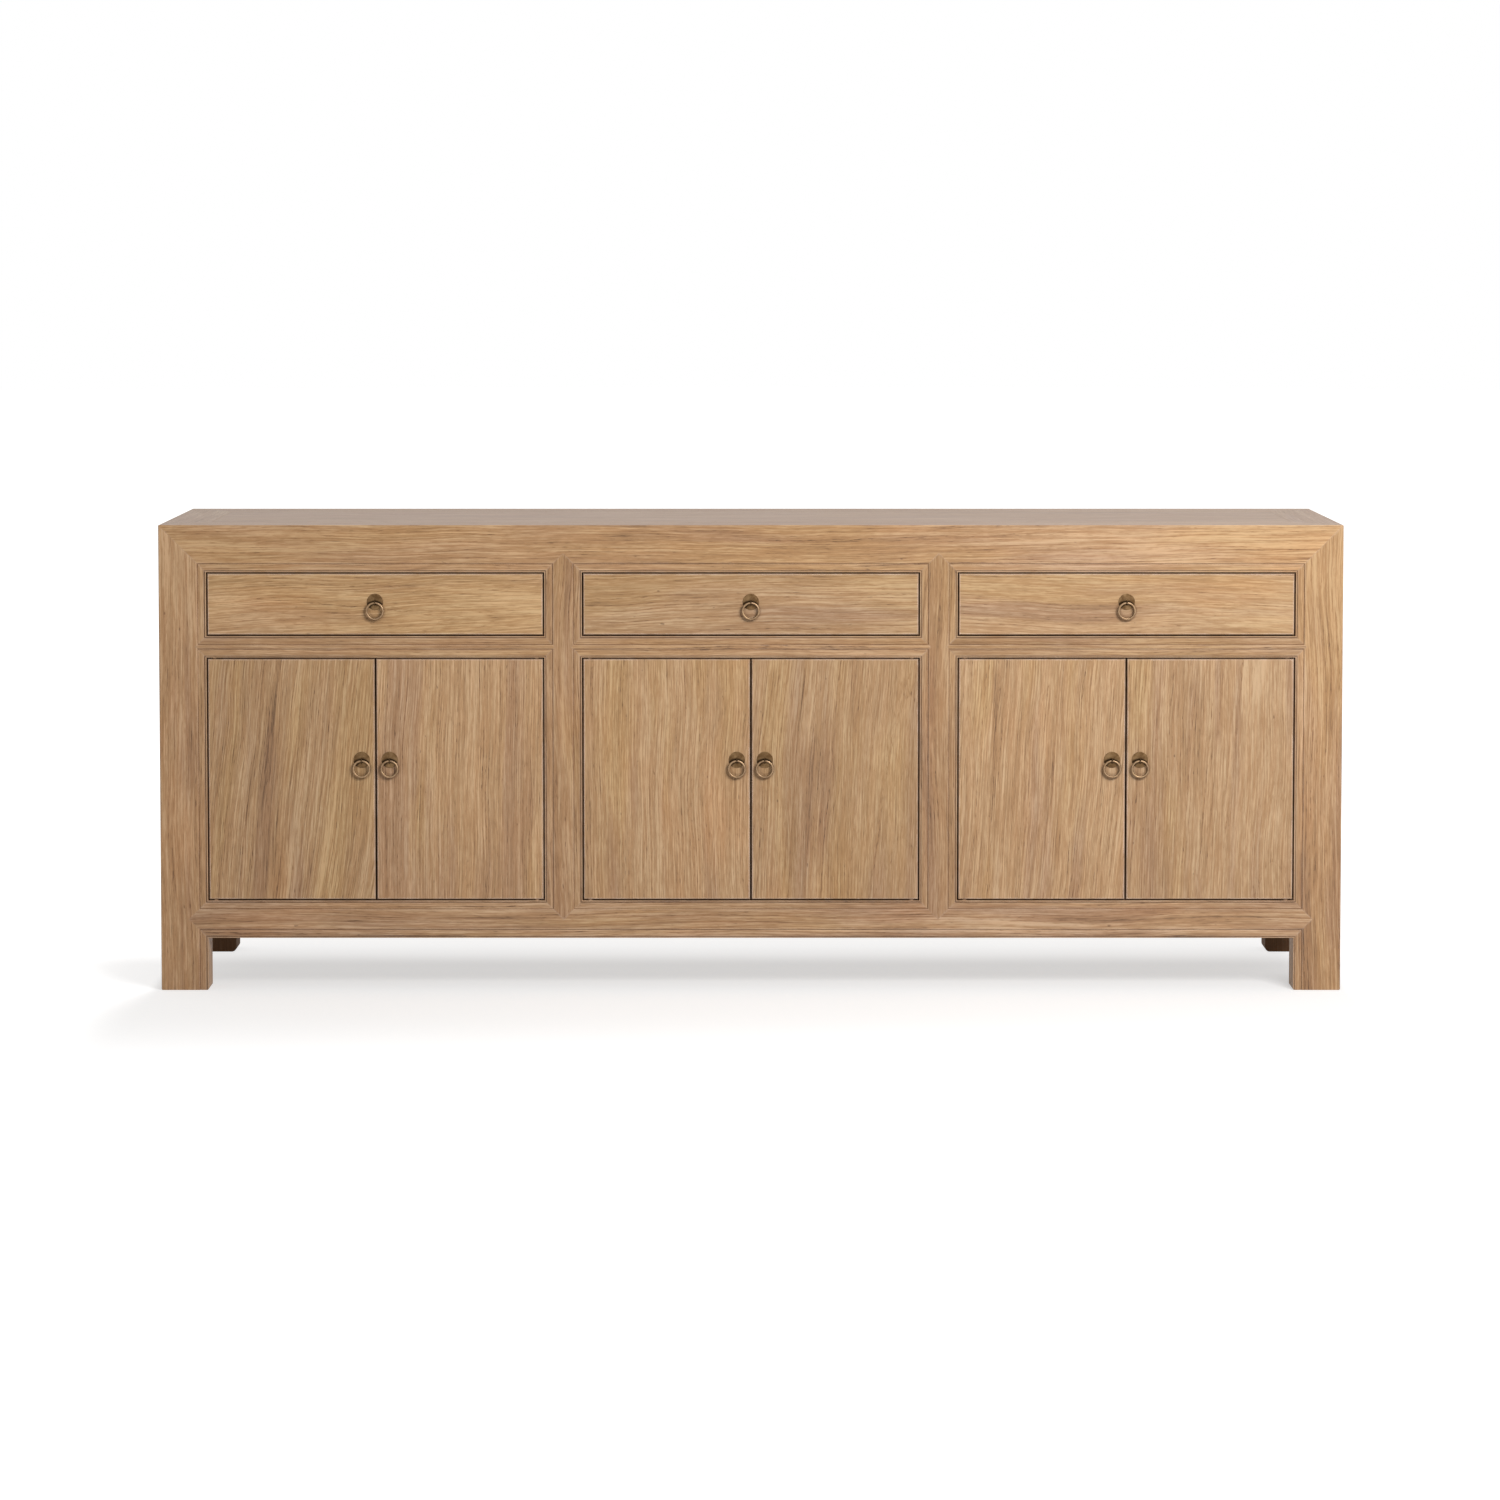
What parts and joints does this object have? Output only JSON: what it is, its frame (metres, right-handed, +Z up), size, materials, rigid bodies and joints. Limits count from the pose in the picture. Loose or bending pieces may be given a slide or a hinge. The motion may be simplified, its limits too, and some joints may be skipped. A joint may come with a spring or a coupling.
{
  "type": "kang cabinet",
  "caption": "Long low wooden cabinet with drawers over pairs of pivot-hung doors, mitred moulded frame, short square feet and round brass ring pulls.",
  "frame": {"origin": "on the floor, at the middle of the footprint of the cabinet and its pulls", "axes": "+X to the right of the person who faces the doors, +Y to the back, +Z up"},
  "size_m": [2.2, 0.4606, 0.87],
  "materials": {
    "elm": "matt, lightly limed open grain",
    "elm_inside": "matt, unfinished inside",
    "brass": "antique, darkened with rubbed highlights"
  },
  "bodies": {
    "cabinet": {"leg_front_left": "elm", "leg_front_right": "elm", "leg_back_left": "elm", "leg_back_right": "elm", "post_front_left": "elm", "post_front_right": "elm", "posts_back": "elm", "top_rail_front": "elm", "top_rail_back": "elm", "top_rail_left": "elm", "top_rail_right": "elm", "top_panel": "elm", "top_battens": "elm_inside", "drawer_rail_1": "elm", "drawer_rail_2": "elm", "drawer_rail_3": "elm", "bottom_rail_front": "elm", "bottom_rail_back": "elm", "bottom_rails_side": "elm", "cross_rails": "elm_inside", "back_panels": "elm_inside", "side_panels": "elm", "partitions": "elm_inside", "floor_boards": "elm_inside", "shelves": "elm_inside", "shelf_bearers": "elm_inside", "drawer_runners": "elm_inside", "door_stops": "elm_inside"},
    "drawer_1": {"drawer_front_1": "elm", "drawer_box_1": "elm_inside", "pull_plate_drawer_1": "brass"},
    "drawer_2": {"drawer_front_2": "elm", "drawer_box_2": "elm_inside", "pull_plate_drawer_2": "brass"},
    "drawer_3": {"drawer_front_3": "elm", "drawer_box_3": "elm_inside", "pull_plate_drawer_3": "brass"},
    "door_1_leaf": {"door_1": "elm", "pull_plate_door_1": "brass"},
    "door_2_leaf": {"door_2": "elm", "pull_plate_door_2": "brass"},
    "door_3_leaf": {"door_3": "elm", "pull_plate_door_3": "brass"},
    "door_4_leaf": {"door_4": "elm", "pull_plate_door_4": "brass"},
    "door_5_leaf": {"door_5": "elm", "pull_plate_door_5": "brass"},
    "door_6_leaf": {"door_6": "elm", "pull_plate_door_6": "brass"},
    "drawer_1_ring": {"pull_ring_drawer_1": "brass"},
    "drawer_2_ring": {"pull_ring_drawer_2": "brass"},
    "drawer_3_ring": {"pull_ring_drawer_3": "brass"},
    "door_1_ring": {"pull_ring_door_1": "brass"},
    "door_2_ring": {"pull_ring_door_2": "brass"},
    "door_3_ring": {"pull_ring_door_3": "brass"},
    "door_4_ring": {"pull_ring_door_4": "brass"},
    "door_5_ring": {"pull_ring_door_5": "brass"},
    "door_6_ring": {"pull_ring_door_6": "brass"}
  },
  "joints": [
    {"name": "drawer_1_slide", "type": "slide", "parent": "cabinet", "child": "drawer_1", "axis": [0, -1, 0], "range_m": [0, 0.28]},
    {"name": "drawer_2_slide", "type": "slide", "parent": "cabinet", "child": "drawer_2", "axis": [0, -1, 0], "range_m": [0, 0.28]},
    {"name": "drawer_3_slide", "type": "slide", "parent": "cabinet", "child": "drawer_3", "axis": [0, -1, 0], "range_m": [0, 0.28]},
    {"name": "door_1_pivot", "type": "hinge", "parent": "cabinet", "child": "door_1_leaf", "pos_m": [-0.9975, -0.2105, 0.168], "axis": [0, 0, -1], "range_deg": [0, 90]},
    {"name": "door_2_pivot", "type": "hinge", "parent": "cabinet", "child": "door_2_leaf", "pos_m": [-0.3985, -0.2105, 0.168], "axis": [0, 0, 1], "range_deg": [0, 90]},
    {"name": "door_3_pivot", "type": "hinge", "parent": "cabinet", "child": "door_3_leaf", "pos_m": [-0.2995, -0.2105, 0.168], "axis": [0, 0, -1], "range_deg": [0, 90]},
    {"name": "door_4_pivot", "type": "hinge", "parent": "cabinet", "child": "door_4_leaf", "pos_m": [0.2995, -0.2105, 0.168], "axis": [0, 0, 1], "range_deg": [0, 90]},
    {"name": "door_5_pivot", "type": "hinge", "parent": "cabinet", "child": "door_5_leaf", "pos_m": [0.3985, -0.2105, 0.168], "axis": [0, 0, -1], "range_deg": [0, 90]},
    {"name": "door_6_pivot", "type": "hinge", "parent": "cabinet", "child": "door_6_leaf", "pos_m": [0.9975, -0.2105, 0.168], "axis": [0, 0, 1], "range_deg": [0, 90]},
    {"name": "drawer_1_ring_swing", "type": "hinge", "parent": "drawer_1", "child": "drawer_1_ring", "pos_m": [-0.698, -0.2251, 0.7255], "axis": [-1, 0, 0], "range_deg": [0, 90]},
    {"name": "drawer_2_ring_swing", "type": "hinge", "parent": "drawer_2", "child": "drawer_2_ring", "pos_m": [0, -0.2251, 0.7255], "axis": [-1, 0, 0], "range_deg": [0, 90]},
    {"name": "drawer_3_ring_swing", "type": "hinge", "parent": "drawer_3", "child": "drawer_3_ring", "pos_m": [0.698, -0.2251, 0.7255], "axis": [-1, 0, 0], "range_deg": [0, 90]},
    {"name": "door_1_ring_swing", "type": "hinge", "parent": "door_1_leaf", "child": "door_1_ring", "pos_m": [-0.724, -0.2251, 0.4305], "axis": [-1, 0, 0], "range_deg": [0, 90]},
    {"name": "door_2_ring_swing", "type": "hinge", "parent": "door_2_leaf", "child": "door_2_ring", "pos_m": [-0.672, -0.2251, 0.4305], "axis": [-1, 0, 0], "range_deg": [0, 90]},
    {"name": "door_3_ring_swing", "type": "hinge", "parent": "door_3_leaf", "child": "door_3_ring", "pos_m": [-0.026, -0.2251, 0.4305], "axis": [-1, 0, 0], "range_deg": [0, 90]},
    {"name": "door_4_ring_swing", "type": "hinge", "parent": "door_4_leaf", "child": "door_4_ring", "pos_m": [0.026, -0.2251, 0.4305], "axis": [-1, 0, 0], "range_deg": [0, 90]},
    {"name": "door_5_ring_swing", "type": "hinge", "parent": "door_5_leaf", "child": "door_5_ring", "pos_m": [0.672, -0.2251, 0.4305], "axis": [-1, 0, 0], "range_deg": [0, 90]},
    {"name": "door_6_ring_swing", "type": "hinge", "parent": "door_6_leaf", "child": "door_6_ring", "pos_m": [0.724, -0.2251, 0.4305], "axis": [-1, 0, 0], "range_deg": [0, 90]}
  ]
}
